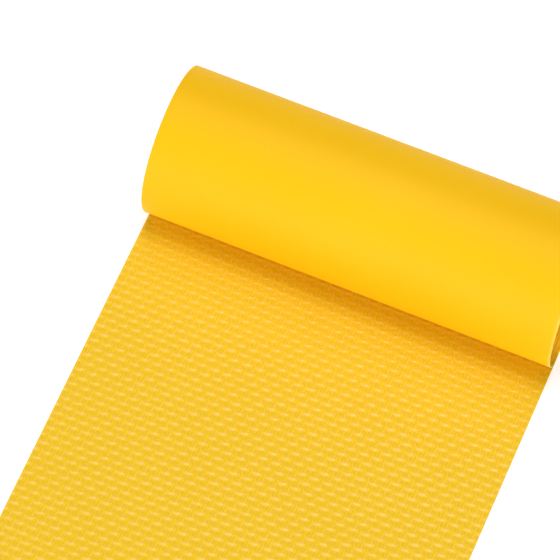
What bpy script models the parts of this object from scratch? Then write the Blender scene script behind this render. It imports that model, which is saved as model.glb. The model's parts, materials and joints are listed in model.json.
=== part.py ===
"""A length of coated fabric, laid flat at one end and curled over into a loose roll at the other.

The fabric is a laminate of three bonded layers: an embossed face film, a woven base cloth and a smooth
back film. It bends everywhere along the curl. Here the curl is cut into strips that hinge on each other
along straight lines across the sheet, so it opens out until the whole length lies flat.

Axes: X runs across the sheet and along the roll, Y runs along the sheet towards the roll, and Z is up.
The origin is under the middle of the whole piece, at the level that it rests on.
"""

import math

import bpy
from mathutils import Vector

# Sheet, in metres.
SHEET_WIDTH = 0.200
FACE_FILM = 0.00019
BASE_CLOTH = 0.00018
BACK_FILM = 0.00019
BOND_GAP = 0.00002  # the bond line between one layer and the next

# Lengths along the sheet.
FLAT_RUN = 0.270  # from the cut edge at the front to the first bend
TUCKED_END = 0.012  # the other cut edge's straight lip, turned in under the curl

# Curl, seen from its end: radii of the outer surface, and turns in degrees.
BACK_RADIUS = 0.0312  # up the back and over the top
FRONT_RADIUS = 0.0381  # down the front
FOLD_RADIUS = 0.0050  # the tight fold where the sheet meets the flat run
BACK_TURN = 187.0
FULL_TURN = 360.0

# Strips that the curl is cut into.
BACK_STRIPS = 9
FRONT_STRIPS = 6
FOLD_STRIPS = 2
CUT_GAP = 0.00004  # between two strips, along the face film
LIE_GAP = 0.00030  # between the tucked end and the flat run under it
ARC_STEPS = 8  # straight facets along each curved strip

COLLECTION = "coated_fabric_roll"


def sheet_layers():
    """Name, depth of the near side and depth of the far side below the face, for each layer."""
    layers = []
    depth = 0.0
    for name, thickness in (("face_film", FACE_FILM), ("base_cloth", BASE_CLOTH), ("back_film", BACK_FILM)):
        layers.append((name, depth, depth + thickness))
        depth += thickness + BOND_GAP
    return layers


LAYERS = sheet_layers()
SHEET_THICKNESS = LAYERS[-1][2]


def front_turn():
    """Heading at which the front wall meets the fold, so that the tucked end lies on the flat run."""
    back = math.cos(math.radians(BACK_TURN))
    height = SHEET_THICKNESS + LIE_GAP
    top = height - BACK_RADIUS * (1 - back) - FRONT_RADIUS * back + FOLD_RADIUS
    return FULL_TURN - math.degrees(math.acos(top / (FOLD_RADIUS - FRONT_RADIUS)))


def curl_strips():
    """Outer radius, start heading and end heading in degrees of each curved strip, from the flat run on."""
    strips = []
    start = 0.0
    for radius, end, count in (
        (BACK_RADIUS, BACK_TURN, BACK_STRIPS),
        (FRONT_RADIUS, front_turn(), FRONT_STRIPS),
        (FOLD_RADIUS, FULL_TURN, FOLD_STRIPS),
    ):
        turn = (end - start) / count
        for k in range(count):
            strips.append((radius, start + k * turn, start + (k + 1) * turn))
        start = end
    return strips


def flat_outline(near, far, start, end):
    """A straight layer's outline: along the sheet, and up from its face."""
    return [(start, -far), (end, -far), (end, -near), (start, -near)]


def curved_outline(near, far, radius, turn):
    """A curved layer's outline from the strip's hinge line on, with ends square to its chord."""
    face_radius = radius - SHEET_THICKNESS
    half_chord = face_radius * math.sin(math.radians(turn) / 2)
    centre_height = face_radius * math.cos(math.radians(turn) / 2)
    half_strip = half_chord - CUT_GAP / 2
    points = []
    for depth, direction in ((far, 1), (near, -1)):
        arc_radius = face_radius + depth
        end_angle = math.asin(half_strip / arc_radius)
        for k in range(ARC_STEPS + 1):
            angle = direction * end_angle * (2 * k / ARC_STEPS - 1)
            points.append((
                half_chord + arc_radius * math.sin(angle),
                centre_height - arc_radius * math.cos(angle),
            ))
    return points


def make_material(name, colour, roughness):
    material = bpy.data.materials.new(name)
    material.use_nodes = True
    shader = material.node_tree.nodes["Principled BSDF"]
    shader.inputs["Base Color"].default_value = (*colour, 1.0)
    shader.inputs["Roughness"].default_value = roughness
    shader.inputs["Metallic"].default_value = 0.0
    return material


def add_layer(name, outline, line, material, collection):
    """One layer of one strip: its outline extruded across the sheet, carried by its hinge line."""
    curve = bpy.data.curves.new(name, "CURVE")
    curve.dimensions = "2D"
    curve.fill_mode = "BOTH"
    curve.extrude = SHEET_WIDTH / 2
    spline = curve.splines.new("POLY")
    spline.points.add(len(outline) - 1)
    for point, (along, up) in zip(spline.points, outline):
        point.co = (along, up, 0.0, 1.0)
    spline.use_cyclic_u = True
    curve.materials.append(material)
    layer = bpy.data.objects.new(name, curve)
    layer.parent = line
    layer.rotation_euler = (math.pi / 2, 0.0, math.pi / 2)
    collection.objects.link(layer)
    return layer


def add_line(name, parent, along, turn, collection):
    """An empty on a hinge line, this far along the strip before it and turned up from it in degrees."""
    line = bpy.data.objects.new(name, None)
    line.parent = parent
    line.location = Vector((0.0, along, 0.0))
    line.rotation_euler = (math.radians(turn), 0.0, 0.0)
    line.empty_display_size = 0.01
    collection.objects.link(line)
    return line


def clear_scene():
    for item in list(bpy.data.objects):
        bpy.data.objects.remove(item)


def build():
    clear_scene()
    collection = bpy.data.collections.new(COLLECTION)
    bpy.context.scene.collection.children.link(collection)
    materials = {
        "face_film": make_material("embossed_face_film", (0.95, 0.56, 0.02), 0.45),
        "base_cloth": make_material("woven_base_cloth", (0.93, 0.80, 0.42), 0.85),
        "back_film": make_material("smooth_back_film", (0.94, 0.50, 0.01), 0.38),
    }

    # The flat run carries the rest. Its frame is on its face, at the first hinge line.
    line = add_line("flat_run_line", None, (FLAT_RUN - BACK_RADIUS) / 2, 0.0, collection)
    line.location.z = SHEET_THICKNESS
    for layer, near, far in LAYERS:
        outline = flat_outline(near, far, -FLAT_RUN, -CUT_GAP / 2)
        add_layer(f"flat_run_{layer}", outline, line, materials[layer], collection)

    # Each curved strip starts where the chord of the one before it ends.
    chord = 0.0
    heading = 0.0
    for number, (radius, start, end) in enumerate(curl_strips(), 1):
        turn = end - start
        middle = (start + end) / 2
        line = add_line(f"bend_line_{number:02d}", line, chord, middle - heading, collection)
        for layer, near, far in LAYERS:
            outline = curved_outline(near, far, radius, turn)
            add_layer(f"curl_{number:02d}_{layer}", outline, line, materials[layer], collection)
        chord = 2 * (radius - SHEET_THICKNESS) * math.sin(math.radians(turn) / 2)
        heading = middle

    # The tucked end lies straight, just over the flat run.
    line = add_line("tucked_end_line", line, chord, FULL_TURN - heading, collection)
    for layer, near, far in LAYERS:
        outline = flat_outline(near, far, CUT_GAP / 2, TUCKED_END)
        add_layer(f"tucked_end_{layer}", outline, line, materials[layer], collection)


build()
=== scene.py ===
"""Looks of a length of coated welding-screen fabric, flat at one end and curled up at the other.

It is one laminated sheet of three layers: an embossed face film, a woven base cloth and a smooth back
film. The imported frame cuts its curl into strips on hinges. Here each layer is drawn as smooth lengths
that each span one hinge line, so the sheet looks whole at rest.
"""

import json
import math

import bpy
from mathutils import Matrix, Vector


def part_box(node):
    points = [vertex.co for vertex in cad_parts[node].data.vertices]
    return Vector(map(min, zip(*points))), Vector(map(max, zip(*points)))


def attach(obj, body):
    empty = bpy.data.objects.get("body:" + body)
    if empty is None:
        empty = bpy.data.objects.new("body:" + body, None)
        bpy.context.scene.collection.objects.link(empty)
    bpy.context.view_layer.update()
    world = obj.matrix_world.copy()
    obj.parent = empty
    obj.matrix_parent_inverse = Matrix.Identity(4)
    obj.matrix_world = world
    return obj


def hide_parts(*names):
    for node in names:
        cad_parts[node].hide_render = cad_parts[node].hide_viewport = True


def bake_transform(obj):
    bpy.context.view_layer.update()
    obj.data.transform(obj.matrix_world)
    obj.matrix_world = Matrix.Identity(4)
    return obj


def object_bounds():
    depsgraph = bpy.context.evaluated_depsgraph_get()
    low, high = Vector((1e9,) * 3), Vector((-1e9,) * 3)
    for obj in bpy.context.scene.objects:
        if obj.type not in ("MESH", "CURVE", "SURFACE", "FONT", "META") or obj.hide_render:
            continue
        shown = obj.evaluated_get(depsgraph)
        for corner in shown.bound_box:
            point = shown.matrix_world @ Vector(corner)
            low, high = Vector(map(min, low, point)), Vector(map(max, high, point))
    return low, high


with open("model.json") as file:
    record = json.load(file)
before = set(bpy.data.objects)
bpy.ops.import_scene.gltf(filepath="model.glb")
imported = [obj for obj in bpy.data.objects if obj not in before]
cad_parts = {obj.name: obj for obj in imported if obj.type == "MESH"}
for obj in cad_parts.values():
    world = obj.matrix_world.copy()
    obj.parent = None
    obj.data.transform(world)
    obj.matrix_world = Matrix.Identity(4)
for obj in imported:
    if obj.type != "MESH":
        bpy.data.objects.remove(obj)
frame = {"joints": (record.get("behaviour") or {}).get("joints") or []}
bpy.ops.object.select_all(action="DESELECT")
cad_low, cad_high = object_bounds()


# The line of the sheet, seen from its end. It was rolled up for storage, so it keeps a curl: a wide bend
# up the back and over the top, a slacker one down the front, and a tight fold where the lip is turned in
# under its own weight. Each layer follows this line at its own depth below the face.
hinges = [Vector(joint["pos_m"]) for joint in frame["joints"]]
back_low, back_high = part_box("flat_run_back_film")
sheet_width = back_high.x - back_low.x
flat_length = hinges[0].y - back_low.y
sheet_thickness = hinges[0].z - back_low.z
tuck_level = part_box("tucked_end_back_film")[0].z - back_low.z
tuck_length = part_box("tucked_end_face_film")[1].y - hinges[-1].y

back_radius = 0.0312
front_radius = 0.0381
fold_radius = 0.0050
back_turn = math.radians(187.0)
full_turn = math.tau
lowest = tuck_level - back_radius * (1 - math.cos(back_turn)) - front_radius * math.cos(back_turn)
front_turn = full_turn - math.acos((lowest + fold_radius) / (fold_radius - front_radius))

# Each bend: its radius at the face, the heading it ends on, and the strips it is cut into.
bends = (
    (back_radius - sheet_thickness, back_turn, 9),
    (front_radius - sheet_thickness, front_turn, 6),
    (fold_radius - sheet_thickness, full_turn, 2),
)


def sheet_place(along, depth):
    """Y, Z and heading of the point this far along the face from the first bend, this deep below it."""
    y, z, heading = hinges[0].y, hinges[0].z, 0.0
    left = along
    for radius, end, _ in bends:
        turn = min(max(left, 0.0) / radius, end - heading)
        y += radius * (math.sin(heading + turn) - math.sin(heading))
        z += radius * (math.cos(heading) - math.cos(heading + turn))
        left -= radius * turn
        heading += turn
        if left <= 0.0:
            break
    y += left * math.cos(heading) + depth * math.sin(heading)
    z += left * math.sin(heading) - depth * math.cos(heading)
    return y, z, heading


# The lengths that each layer is drawn in. The first lies flat and stops a lead-in short of the first
# hinge. Every other one bends across one hinge line, from the middle of the strip before it to the middle
# of the strip after it, and the last one takes in the straight lip.
lead_in = 0.005
lip_set = 0.0012
middles = []
reach, heading = 0.0, 0.0
for radius, end, strips in bends:
    strip = radius * (end - heading) / strips
    middles += [reach + strip * (k + 0.5) for k in range(strips)]
    reach += strip * strips
    heading = end
sheet_end = reach + tuck_length

bodies = ["flat_run"] + [f"curl_{k:02d}" for k in range(1, len(middles) + 1)] + ["tucked_end"]
stations = [-lead_in, *middles, sheet_end]
across_steps = 40
flat_steps = 54
bend_steps = 24


def sheet_layer(name, near, far, start, end, steps):
    """One closed length of a layer, from near to far below the face and from start to end along it."""
    columns = across_steps + 1
    places = []
    normals = []
    spots = []
    for side, depth in ((1.0, near), (-1.0, far)):
        for row in range(steps + 1):
            along = start + (end - start) * row / steps
            y, z, heading = sheet_place(along, depth)
            normal = (0.0, -side * math.sin(heading), side * math.cos(heading))
            for column in range(columns):
                x = sheet_width * (column / across_steps - 0.5)
                places.append((x, y, z))
                normals.append(normal)
                spots.append((x, along))
    under = (steps + 1) * columns
    faces = []
    shades = []
    marks = []

    def add_face(corners, flat_normal=None, shift=(0.0, 0.0)):
        """A face and its shading. On a cut edge, shift carries the sheet's coordinates round it."""
        faces.append(corners)
        for corner in corners:
            shades.append(flat_normal or normals[corner])
            deep = far - near if corner >= under else 0.0
            x, along = spots[corner]
            marks.append((x + shift[0] * deep, along + shift[1] * deep))

    for row in range(steps):
        for column in range(across_steps):
            a = row * columns + column
            b = a + columns
            add_face((a, a + 1, b + 1, b))
            add_face((under + a, under + b, under + b + 1, under + a + 1))
    for row in range(steps):
        a = row * columns
        b = a + columns
        add_face((a, b, under + b, under + a), (-1.0, 0.0, 0.0), (-1.0, 0.0))
        a += across_steps
        b += across_steps
        add_face((a, under + a, under + b, b), (1.0, 0.0, 0.0), (1.0, 0.0))
    for column in range(across_steps):
        for a, turned, along in ((column, False, start), (steps * columns + column, True, end)):
            heading = sheet_place(along, 0.0)[2]
            way = 1.0 if turned else -1.0
            wall = (0.0, way * math.cos(heading), way * math.sin(heading))
            corners = (a, under + a, under + a + 1, a + 1)
            add_face(corners[::-1] if turned else corners, wall, (0.0, way))
    mesh = bpy.data.meshes.new(name)
    mesh.from_pydata(places, [], faces)
    layer_map = mesh.uv_layers.new(name="sheet_metres")
    layer_map.data.foreach_set("uv", [value for mark in marks for value in mark])
    for face in mesh.polygons:
        face.use_smooth = True
    mesh.normals_split_custom_set(shades)
    piece = bpy.data.objects.new(name, mesh)
    bpy.context.scene.collection.objects.link(piece)
    return piece


def lay_layer(layer, material):
    """All the lengths of one layer, in place of the imported parts: the flat one on its own body, the
    others drawn in their resting shape.
    """
    near = hinges[0].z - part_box(f"flat_run_{layer}")[1].z
    far = hinges[0].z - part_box(f"flat_run_{layer}")[0].z
    flat = sheet_layer(f"flat_{layer}", near, far, -flat_length, -lead_in, flat_steps)
    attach(flat, "flat_run")
    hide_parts(f"flat_run_{layer}")
    lengths = [flat]
    sizes = [flat_length - lead_in]
    for number, (start, end) in enumerate(zip(stations, stations[1:]), 1):
        bend = sheet_layer(f"bend_{number:02d}_{layer}", near, far, start, end, bend_steps)
        body, next_body = bodies[number - 1], bodies[number]
        settled = min(end, reach + lip_set)
        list(sheet_place(start, 0.0)[:2])
        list(sheet_place(settled, 0.0)[:2])
        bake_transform(bend)
        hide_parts(f"{next_body}_{layer}")
        lengths.append(bend)
        sizes.append(end - start)
    for piece, size in zip(lengths, sizes):
        piece.data.materials.append(material)


# The face film is plasticised PVC, pressed hot onto the base cloth, so that the weave stands out
# through it: warp yarns in pairs, and one weft yarn that comes up over every other pair as a short float.
# The film is thin and pale over a float, and thick and deep in colour in the hollow beside it. The
# pale float colour is partly a painted highlight, and the deeper colour in the hollows, creases and
# grooves is partly painted shade.
pair_pitch = 0.00313
row_pitch = 0.00395
pair_drift = 0.0004
row_drift = 0.00035
face_relief = 0.00018


def calculate(tree, operation, *values):
    """The output of a Math node with these values or sockets on its inputs."""
    node = tree.nodes.new("ShaderNodeMath")
    node.operation = operation
    for socket, value in zip(node.inputs, values):
        if isinstance(value, bpy.types.NodeSocket):
            tree.links.new(value, socket)
        else:
            socket.default_value = value
    return node.outputs[0]


def ease(tree, value, low, high, start=0.0, end=1.0):
    """A smooth step from start to end as value goes from low to high."""
    node = tree.nodes.new("ShaderNodeMapRange")
    node.interpolation_type = "SMOOTHSTEP"
    tree.links.new(value, node.inputs["Value"])
    for name, number in (("From Min", low), ("From Max", high), ("To Min", start), ("To Max", end)):
        node.inputs[name].default_value = number
    return node.outputs["Result"]


def noise(tree, place, scale, detail=2.0):
    """Smooth noise from 0 to 1 over the sheet, with this many waves to a metre."""
    node = tree.nodes.new("ShaderNodeTexNoise")
    tree.links.new(place, node.inputs["Vector"])
    node.inputs["Scale"].default_value = scale
    node.inputs["Detail"].default_value = detail
    return node.outputs["Fac"]


def blend_colours(tree, share, first, second):
    """A colour from first, at share 0, to second, at share 1."""
    node = tree.nodes.new("ShaderNodeMix")
    node.data_type = "RGBA"
    tree.links.new(share, node.inputs[0])
    for socket, colour in ((node.inputs[6], first), (node.inputs[7], second)):
        if isinstance(colour, bpy.types.NodeSocket):
            tree.links.new(colour, socket)
        else:
            socket.default_value = (*colour, 1.0)
    return node.outputs[2]


def new_material(name):
    """An empty material with its tree, its shader, and the sheet's own coordinates in metres."""
    material = bpy.data.materials.new(name)
    material.use_nodes = True
    tree = material.node_tree
    shader = tree.nodes["Principled BSDF"]
    place = tree.nodes.new("ShaderNodeUVMap")
    place.uv_map = "sheet_metres"
    parts = tree.nodes.new("ShaderNodeSeparateXYZ")
    tree.links.new(place.outputs["UV"], parts.inputs[0])
    return material, tree, shader, place.outputs["UV"], parts.outputs["X"], parts.outputs["Y"]


def raise_surface(tree, shader, height, depth):
    """Bumps the shader's surface by height, from 0 to 1, times depth in metres."""
    bump = tree.nodes.new("ShaderNodeBump")
    bump.inputs["Strength"].default_value = 1.0
    bump.inputs["Distance"].default_value = depth
    tree.links.new(height, bump.inputs["Height"])
    tree.links.new(bump.outputs["Normal"], shader.inputs["Normal"])


def weave(tree, place, across, along):
    """The height of the warp yarns and weft floats, and the depth of the hollows and creases, 0 to 1.

    A float crosses a warp pair and leans a little along the sheet. The hollow lies on one side of it and
    the shallower crease on the other, where the float goes down between two pairs. The face film also
    paints shade into the hollows and creases.
    """
    drift = calculate(tree, "MULTIPLY_ADD", noise(tree, place, 110.0), 2 * pair_drift, -pair_drift)
    sway = calculate(tree, "MULTIPLY_ADD", noise(tree, place, 190.0), 2 * row_drift, -row_drift)
    pair_turn = calculate(tree, "ADD", across, drift)
    pair_turn = calculate(tree, "MULTIPLY", pair_turn, math.pi / pair_pitch)
    row_turn = calculate(tree, "ADD", along, sway)
    row_turn = calculate(tree, "MULTIPLY", row_turn, math.pi / row_pitch)
    row = calculate(tree, "COSINE", row_turn)
    over = calculate(tree, "MULTIPLY", calculate(tree, "COSINE", pair_turn), row)
    beside = calculate(tree, "MULTIPLY", calculate(tree, "SINE", pair_turn), row)

    yarn = calculate(tree, "SINE", calculate(tree, "MULTIPLY", pair_turn, 2.0))
    yarn = calculate(tree, "POWER", calculate(tree, "ABSOLUTE", yarn), 0.7)
    warp = calculate(tree, "MULTIPLY", yarn, ease(tree, over, 0.7, -0.7, 0.2, 0.9))

    line = calculate(tree, "COSINE", calculate(tree, "MULTIPLY_ADD", beside, -0.2, row_turn))
    line = calculate(tree, "POWER", calculate(tree, "ABSOLUTE", line), 4.0)
    weft = calculate(tree, "MULTIPLY", line, ease(tree, over, -0.70, 0.25))
    weft = calculate(tree, "MULTIPLY", weft, ease(tree, beside, -0.9, 0.3, 0.6, 1.0))
    weft = calculate(tree, "MULTIPLY", weft, ease(tree, noise(tree, place, 260.0), 0.3, 0.6, 0.6, 1.0))

    slant = calculate(tree, "SINE", calculate(tree, "ADD", pair_turn, -0.4))
    slant = calculate(tree, "MULTIPLY", slant, 2.2)
    slant = calculate(tree, "MAXIMUM", calculate(tree, "MINIMUM", slant, 1.0), -1.0)
    skew = calculate(tree, "MULTIPLY", slant, calculate(tree, "SINE", row_turn))
    return warp, weft, ease(tree, skew, -0.4, -0.95), ease(tree, skew, 0.5, 1.0)


face_deep, face_light = (0.90, 0.567, 0.006), (0.915, 0.587, 0.012)
# The next three colours are partly the film's deeper colour where it lies thick and partly painted shade
# in the grooves, creases and hollows.
groove_depth_and_shade_colour = (0.865, 0.49, 0.006)
crease_depth_and_shade_colour = (0.87, 0.514, 0.012)
hollow_depth_and_shade_colour = (0.835, 0.513, 0.000)
# Partly the film's paleness over the yarn, partly a painted highlight of the light behind the roll.
float_pale_and_highlight_colour = (0.94, 0.612, 0.080)

face_film, tree, shader, place, across, along = new_material("embossed_face_film")
warp, weft, hollow_depth_and_shade, crease_depth_and_shade = weave(tree, place, across, along)
height = calculate(tree, "SMOOTH_MAX", warp, weft, 0.3)
height = calculate(tree, "MULTIPLY_ADD", hollow_depth_and_shade, -0.25, height)
height = calculate(tree, "MULTIPLY_ADD", crease_depth_and_shade, -0.12, height)
grain = noise(tree, place, 1500.0, 3.0)
height = calculate(tree, "MULTIPLY_ADD", grain, 0.12, height)

cloud = noise(tree, place, 22.0)
ground = blend_colours(tree, ease(tree, cloud, 0.3, 0.7), face_deep, face_light)
# Painted shade, with the film's deeper colour, in the grooves, creases and hollows.
ground = blend_colours(tree, ease(tree, warp, 0.0, 0.6, 0.5, 0.0), ground, groove_depth_and_shade_colour)
ground = blend_colours(tree, crease_depth_and_shade, ground, crease_depth_and_shade_colour)
ground = blend_colours(tree, hollow_depth_and_shade, ground, hollow_depth_and_shade_colour)

# Painted highlight and shade: the floats are paler where the sheet lies open, and the paleness fades
# near the curl and inside it, where the roll shades them from the light behind.
highlight_outside_roll_shade = ease(tree, along, -0.085, -0.035, 1.0, 0.15)
float_pale_and_highlight = calculate(tree, "MULTIPLY", ease(tree, weft, 0.1, 0.9), highlight_outside_roll_shade)
colour = blend_colours(tree, float_pale_and_highlight, ground, float_pale_and_highlight_colour)
tree.links.new(colour, shader.inputs["Base Color"])
gloss = calculate(tree, "MULTIPLY_ADD", grain, 0.12, ease(tree, weft, 0.0, 0.8, 0.48, 0.27))
tree.links.new(gloss, shader.inputs["Roughness"])
shader.inputs["Specular IOR Level"].default_value = 0.25
raise_surface(tree, shader, height, face_relief)
lay_layer("face_film", face_film)


# The base cloth is woven polyester, undyed. It shows only along the cut edges, as a pale line of cut
# yarn ends between the two films.
yarn_shadow, yarn_colour, fray_colour = (0.90, 0.60, 0.08), (0.96, 0.72, 0.20), (0.97, 0.78, 0.30)
yarn_relief = 0.00008

base_cloth, tree, shader, place, across, along = new_material("woven_base_cloth")
ends = calculate(tree, "SINE", calculate(tree, "MULTIPLY", across, 2 * math.pi / pair_pitch))
rows = calculate(tree, "SINE", calculate(tree, "MULTIPLY", along, 2 * math.pi / row_pitch))
yarns = calculate(tree, "MAXIMUM", calculate(tree, "ABSOLUTE", ends), calculate(tree, "ABSOLUTE", rows))
fray = noise(tree, place, 2600.0, 3.0)
colour = blend_colours(tree, ease(tree, yarns, 0.2, 0.8), yarn_shadow, yarn_colour)
colour = blend_colours(tree, ease(tree, fray, 0.35, 0.7), colour, fray_colour)
tree.links.new(colour, shader.inputs["Base Color"])
shader.inputs["Roughness"].default_value = 0.85
raise_surface(tree, shader, calculate(tree, "MULTIPLY_ADD", fray, 0.5, yarns), yarn_relief)
lay_layer("base_cloth", base_cloth)


# The back film is the same PVC, calendered smooth. It faces outwards round the curl. The weave is only
# a trace under it, and the film has a fine grain from the rollers. A narrow, uneven band along one cut
# edge is paler.
back_deep, back_light = (0.945, 0.52, 0.001), (0.955, 0.534, 0.003)
rim_colour = (0.96, 0.63, 0.08)
rim_inner, rim_outer = sheet_width / 2 - 0.0015, sheet_width / 2 - 0.0006
back_relief = 0.00003

back_film, tree, shader, place, across, along = new_material("smooth_back_film")
warp, weft = weave(tree, place, across, along)[:2]
grain = noise(tree, place, 1400.0, 3.0)
height = calculate(tree, "SMOOTH_MAX", warp, weft, 0.3)
height = calculate(tree, "MULTIPLY_ADD", height, 0.7, calculate(tree, "MULTIPLY", grain, 0.3))
cloud = noise(tree, place, 14.0)
colour = blend_colours(tree, ease(tree, cloud, 0.3, 0.7), back_deep, back_light)
rim = ease(tree, across, rim_inner, rim_outer)
rim = calculate(tree, "MULTIPLY", rim, ease(tree, noise(tree, place, 700.0), 0.3, 0.6, 0.6, 1.0))
colour = blend_colours(tree, rim, colour, rim_colour)
tree.links.new(colour, shader.inputs["Base Color"])
gloss = calculate(tree, "MULTIPLY_ADD", grain, 0.10, 0.52)
tree.links.new(gloss, shader.inputs["Roughness"])
shader.inputs["Specular IOR Level"].default_value = 0.15
raise_surface(tree, shader, height, back_relief)
lay_layer("back_film", back_film)


# The studio: a plain white table that glows a little, some light all round, a soft light high up behind
# the roll, a low broad one in front that fills the turn of the lip, weak ones from the back, the left
# and the right, and a narrow warm one that reaches in under the lip at the open end of the roll.
bpy.ops.mesh.primitive_plane_add(size=8.0, location=(0.0, 0.0, -0.0002))
floor = bpy.context.object
floor.name = "floor"
floor_paint = bpy.data.materials.new("floor_paint")
floor_paint.use_nodes = True
floor_shader = floor_paint.node_tree.nodes["Principled BSDF"]
floor_shader.inputs["Base Color"].default_value = (0.75, 0.75, 0.75, 1.0)
floor_shader.inputs["Roughness"].default_value = 0.9
floor_shader.inputs["Specular IOR Level"].default_value = 0.1
floor_shader.inputs["Emission Color"].default_value = (1.0, 1.0, 1.0, 1.0)
floor_shader.inputs["Emission Strength"].default_value = 0.42
floor.data.materials.append(floor_paint)

world = bpy.data.worlds.new("studio")
world.use_nodes = True
background = world.node_tree.nodes["Background"]
background.inputs["Color"].default_value = (1.0, 1.0, 1.0, 1.0)
background.inputs["Strength"].default_value = 0.355
bpy.context.scene.world = world

light_distance = 1.6


def way_to(azimuth, elevation):
    """The direction at these angles in degrees, azimuth from the front round to the right."""
    azimuth, elevation = math.radians(azimuth), math.radians(elevation)
    level = math.cos(elevation)
    return Vector((math.sin(azimuth) * level, -math.cos(azimuth) * level, math.sin(elevation)))


def stand_light(kind, name, target, way, power):
    """A light at the studio's distance from target, turned to it."""
    bpy.ops.object.light_add(type=kind, location=target + way * light_distance)
    lamp = bpy.context.object
    lamp.name = name
    lamp.data.energy = power
    lamp.rotation_mode = "QUATERNION"
    lamp.rotation_quaternion = way.to_track_quat("Z", "Y")
    return lamp


for name, azimuth, elevation, size, power in (
    ("key_softbox", 180.0, 80.0, 0.5, 10.2),
    ("front_softbox", 0.0, 15.0, 0.6, 14.0),
    ("back_softbox", -158.0, 59.0, 0.6, 3.6),
    ("left_softbox", -90.0, 20.0, 0.6, 1.2),
    ("right_softbox", 86.0, 6.0, 0.6, 5.0),
):
    lamp = stand_light("AREA", name, (cad_low + cad_high) / 2, way_to(azimuth, elevation), power)
    lamp.data.shape = "SQUARE"
    lamp.data.size = size

under_lip = Vector((sheet_width / 2, hinges[0].y - 0.013, 0.007))
lamp = stand_light("SPOT", "mouth_spot", under_lip, way_to(90.0, 35.0), 70.0)
lamp.data.color = (1.0, 0.62, 0.2)
lamp.data.spot_size = math.radians(1.0)
lamp.data.spot_blend = 0.5
lamp.data.shadow_soft_size = 0.005


# The camera stands well back and looks down along the sheet from its cut corner, through a long lens.
aim = Vector((-0.0312, 0.0818, 0.0))
camera_distance = 1.833
back = way_to(23.11, 64.36)
bpy.ops.object.camera_add(location=aim + back * camera_distance)
camera = bpy.context.object
camera.name = "camera"
camera.rotation_mode = "QUATERNION"
camera.rotation_quaternion = back.to_track_quat("Z", "Y")
camera.data.sensor_width = 36.0
camera.data.lens = 257.1
camera.data.clip_start = 0.05
camera.data.clip_end = 20.0
bpy.context.scene.camera = camera
bpy.context.scene.view_settings.view_transform = "Standard"
